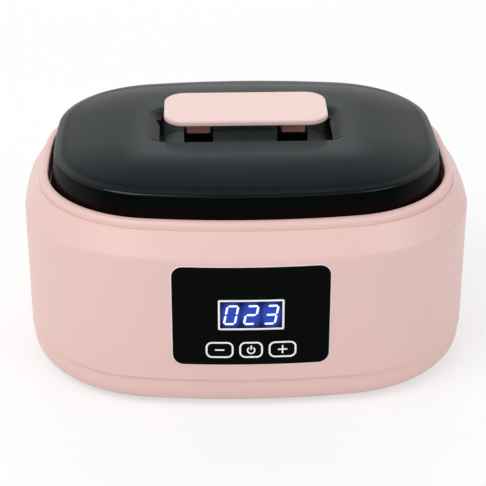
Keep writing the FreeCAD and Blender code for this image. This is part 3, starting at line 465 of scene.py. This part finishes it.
def outline_tree():
    """Node tree for a drawn frame, for the print and for the painted edge highlight: a rounded rectangle
    drawn with a flat line.
    """
    tree = bpy.data.node_groups.new("drawn_frame", "GeometryNodeTree")
    face = tree.interface
    face.new_socket("Geometry", in_out="INPUT", socket_type="NodeSocketGeometry")
    for label in ("Width", "Height", "Corner", "Line", "Across", "Up", "Ink"):
        face.new_socket(label, in_out="INPUT", socket_type="NodeSocketFloat")
    face.new_socket("Finish", in_out="INPUT", socket_type="NodeSocketMaterial")
    face.new_socket("Geometry", in_out="OUTPUT", socket_type="NodeSocketGeometry")

    add = Wiring(tree).node
    given = add("NodeGroupInput", {}, {}).outputs
    box = add("GeometryNodeCurvePrimitiveQuadrilateral", {}, {
        "Width": given["Width"], "Height": given["Height"]})
    rounded = add("GeometryNodeFilletCurve", {"mode": "POLY"}, {
        "Curve": box.outputs[0], "Radius": given["Corner"], "Count": 8})
    even = add("GeometryNodeSubdivideCurve", {}, {"Curve": rounded.outputs[0], "Cuts": 6})
    nib = add("GeometryNodeCurvePrimitiveQuadrilateral", {}, {
        "Width": given["Line"], "Height": given["Ink"]})
    drawn = add("GeometryNodeCurveToMesh", {}, {"Curve": even.outputs[0], "Profile Curve": nib.outputs[0]})
    shift = add("ShaderNodeCombineXYZ", {}, {"X": given["Across"], "Y": given["Up"]})
    moved = add("GeometryNodeTransform", {}, {"Geometry": drawn.outputs[0], "Translation": shift.outputs[0]})
    real = add("GeometryNodeRealizeInstances", {}, {"Geometry": moved.outputs[0]})
    inked = add("GeometryNodeSetMaterial", {}, {"Geometry": real.outputs[0], "Material": given["Finish"]})
    add("NodeGroupOutput", {}, {"Geometry": inked.outputs[0]})
    return tree


FRAME_TREE = outline_tree()


def drawn_frame(name, body, finish, size, corner, line, place, proud):
    """Draw one frame, lay it on the front and give it to its body."""
    base = bpy.data.objects.new(name + "_base", bpy.data.meshes.new(name + "_base"))
    bpy.context.scene.collection.objects.link(base)
    made = base.modifiers.new("frame", "NODES")
    made.node_group = FRAME_TREE
    sizes = {"Width": size[0] - line, "Height": size[1] - line, "Corner": corner, "Line": line,
             "Across": place[0], "Up": place[1], "Ink": FRAME_LAYER, "Finish": finish}
    for item in FRAME_TREE.interface.items_tree:
        if item.in_out == "INPUT" and item.name in sizes:
            made[item.identifier] = sizes[item.name]
    graph = bpy.context.evaluated_depsgraph_get()
    mesh = bpy.data.meshes.new_from_object(base.evaluated_get(graph))
    bpy.data.objects.remove(base)
    lay_on_front(mesh, proud)
    add_piece(name, mesh, body)


def flat_strokes(name, outlines, thickness, finish):
    """Make thin plates from closed outlines given as lists of points."""
    shape = bmesh.new()
    for outline in outlines:
        low = [shape.verts.new((x, y, 0.0)) for x, y in outline]
        high = [shape.verts.new((x, y, thickness)) for x, y in outline]
        shape.faces.new(high)
        shape.faces.new(list(reversed(low)))
        count = len(outline)
        for i in range(count):
            j = (i + 1) % count
            shape.faces.new((low[i], low[j], high[j], high[i]))
    bmesh.ops.recalc_face_normals(shape, faces=shape.faces[:])
    mesh = bpy.data.meshes.new(name)
    shape.to_mesh(mesh)
    shape.free()
    mesh.materials.append(finish)
    return mesh


def bar(start, end):
    """One lit bar: a long hexagon with pointed ends, a little shorter than the span."""
    way = (end - start).normalized()
    side = Vector((-way.y, way.x)) * (STROKE / 2)
    point = way * (STROKE / 2)
    first = start + way * STROKE_GAP
    last = end - way * STROKE_GAP
    return [first, first + point + side, last - point + side, last, last - point - side, first + point - side]


def digit(figure, x, z):
    """Outlines of a slanted seven-bar figure about a point."""
    w = (DIGIT_WIDTH - STROKE) / 2
    h = (DIGIT_HEIGHT - STROKE) / 2
    ends = {
        "a": ((-w, h), (w, h)), "b": ((w, h), (w, 0)), "c": ((w, 0), (w, -h)), "d": ((w, -h), (-w, -h)),
        "e": ((-w, -h), (-w, 0)), "f": ((-w, 0), (-w, h)), "g": ((-w, 0), (w, 0)),
    }
    outlines = []
    for name in SEGMENTS[figure]:
        start, end = ends[name]
        points = bar(Vector(start), Vector(end))
        outlines.append([(p.x + p.y * SLANT + x, p.y + z) for p in points])
    return outlines


def strip(x0, z0, x1, z1):
    return [(x0, z0), (x1, z0), (x1, z1), (x0, z1)]


def arc_band(x, z, inner, outer, start, stop, steps):
    """Quads of a round band between two angles in degrees."""
    quads = []
    for i in range(steps):
        a = math.radians(start + (stop - start) * i / steps)
        b = math.radians(start + (stop - start) * (i + 1) / steps)
        quads.append([(x + r * math.cos(t), z + r * math.sin(t))
                      for r, t in ((inner, a), (outer, a), (outer, b), (inner, b))])
    return quads


def minus_sign(x):
    return [strip(x - SIGN_REACH, KEY_Z - SIGN_HALF_LINE, x + SIGN_REACH, KEY_Z + SIGN_HALF_LINE)]


def plus_sign(x):
    left = x - SIGN_HALF_LINE
    right = x + SIGN_HALF_LINE
    upper = strip(left, KEY_Z + SIGN_HALF_LINE, right, KEY_Z + SIGN_REACH)
    lower = strip(left, KEY_Z - SIGN_REACH, right, KEY_Z - SIGN_HALF_LINE)
    return minus_sign(x) + [upper, lower]


def power_sign(x):
    ring = arc_band(x, KEY_Z - RING_DROP, RING_INNER, RING_OUTER, RING_START, RING_STOP, 20)
    return ring + [strip(x - SIGN_HALF_LINE, KEY_Z + STEM_LOW, x + SIGN_HALF_LINE, KEY_Z + STEM_HIGH)]


# the lit figures, the painted highlight round the panel's edge, and the print round the display
figures = []
for place, figure in enumerate("023"):
    figures += digit(figure, (place - 1) * DIGIT_PITCH, WINDOW_Z)
digits = flat_strokes("display_digits", figures, FIGURE_INK, lit_segment())
lay_on_front(digits, FIGURE_PROUD)
add_piece("display_digits", digits, "warmer")
drawn_frame("panel_edge_highlight", "warmer", painted_edge_highlight,
              PANEL_HIGHLIGHT, PANEL_CORNER, PANEL_LINE, (0.0, PANEL_Z), 0.0)
drawn_frame("display_frame", "warmer", white_ink,
              WINDOW_FRAME, WINDOW_CORNER, WINDOW_LINE, (0.0, WINDOW_Z), PANEL_PROUD)

# an outline on each key, and then its sign, which both travel with it
key_frames = (
    ("low", -KEY_X, WIDE_KEY_FRAME),
    ("power", 0.0, POWER_KEY_FRAME),
    ("high", KEY_X, WIDE_KEY_FRAME),
)
for word, x, size in key_frames:
    drawn_frame(word + "_frame", word + "_key", white_ink,
                  size, KEY_CORNER, KEY_LINE, (x, KEY_Z), KEY_PROUD)
key_signs = {"low_key": minus_sign(-KEY_X), "power_key": power_sign(0.0), "high_key": plus_sign(KEY_X)}
for key, outlines in key_signs.items():
    sign = flat_strokes(key + "_sign", outlines, SIGN_INK, white_ink)
    lay_on_front(sign, KEY_PROUD)
    add_piece(key + "_sign", sign, key)


def pale_floor():
    """Near-white floor that keeps the shadow close by and pales to the backdrop's white further out."""
    finish = Finish("pale_floor")
    finish.set(
        Base_Color=finish.tint(finish.noise(1.5, 2.0), scaled(WHITE, 0.93), scaled(WHITE, 0.96)),
        Roughness=0.9,
        Specular_IOR_Level=0.1,
    )
    across = finish.axis("X")
    along = finish.axis("Y")
    lift = finish.span(across * across + along * along, PALE_START, PALE_END, 0.6, 1.0)
    glow = finish.node("ShaderNodeEmission", {}, {"Color": WHITE, "Strength": 1.0})
    lifted = finish.node("ShaderNodeMixShader", {}, {
        0: finish.ray("Is Camera Ray") * lift, 1: finish.surface.outputs[0], 2: glow.outputs[0]})
    finish.feed(lifted.outputs[0], finish.tree.nodes["Material Output"].inputs["Surface"])
    return finish.material


def lay_floor(reach):
    mesh = bpy.data.meshes.new("floor")
    corners = [(-reach, -reach, 0), (reach, -reach, 0), (reach, reach, 0), (-reach, reach, 0)]
    mesh.from_pydata(corners, [], [(0, 1, 2, 3)])
    mesh.materials.append(pale_floor())
    floor = bpy.data.objects.new("floor", mesh)
    bpy.context.scene.collection.objects.link(floor)


def light_sky():
    """Soft light from above, and a white backdrop that gloss and metal mirror with a darker ceiling."""
    world = bpy.data.worlds.new("studio")
    world.use_nodes = True
    sky = Shading(world.node_tree, "Generated")
    height = sky.axis("Z")
    camera_ray = sky.ray("Is Camera Ray")
    shown = camera_ray.most(sky.ray("Is Glossy Ray")).most(sky.ray("Is Transmission Ray"))
    light = sky.span(height, -0.25, 0.6, 0.08, 0.62, "LINEAR")
    ceiling = sky.span(height, 0.5, 0.9, 1.0, 0.3, "LINEAR")
    background = world.node_tree.nodes["Background"]
    sky.feed(WHITE, background.inputs["Color"])
    sky.feed(sky.mix(shown, light, camera_ray.most(ceiling)), background.inputs["Strength"])
    bpy.context.scene.world = world


def add_lamp(name, place, aim, width, depth, power, mirrored=True):
    lamp = bpy.data.lights.new(name, "AREA")
    lamp.shape = "RECTANGLE"
    lamp.size = width
    lamp.size_y = depth
    lamp.energy = power
    holder = bpy.data.objects.new(name, lamp)
    holder.location = place
    holder.rotation_euler = (Vector(place) - Vector(aim)).to_track_quat("Z", "Y").to_euler()
    holder.visible_glossy = mirrored
    bpy.context.scene.collection.objects.link(holder)


def add_camera(elevation, azimuth, distance, side, height):
    """Camera that looks down at the front, aimed a little beside the middle and at a height."""
    level = math.cos(elevation)
    back = Vector((math.sin(azimuth) * level, -math.cos(azimuth) * level, math.sin(elevation)))
    aim = Vector((side * math.cos(azimuth), side * math.sin(azimuth), height))
    lens = bpy.data.cameras.new("camera")
    lens.lens = 120.0
    lens.sensor_width = 36.0
    camera = bpy.data.objects.new("camera", lens)
    camera.location = aim + back * distance
    camera.rotation_euler = back.to_track_quat("Z", "Y").to_euler()
    bpy.context.scene.collection.objects.link(camera)
    bpy.context.scene.camera = camera


# floor, light and camera
lay_floor(FLOOR_REACH)
light_sky()
add_lamp("key_lamp", (-0.95, -0.85, 1.7), (0.0, 0.0, 0.08), width=1.2, depth=1.2, power=18.0)
add_lamp("fill_lamp", (1.2, -1.0, 1.0), (0.0, 0.0, 0.08), width=1.0, depth=1.0, power=4.6)
add_lamp("back_lamp", (0.1, 1.4, 1.4), (0.0, 0.0, 0.1), width=1.4, depth=0.8, power=8.0, mirrored=False)
add_camera(math.radians(27.4), math.radians(-1.7), distance=1.143, side=-0.0017, height=0.0618)
bpy.context.scene.view_settings.view_transform = "Standard"
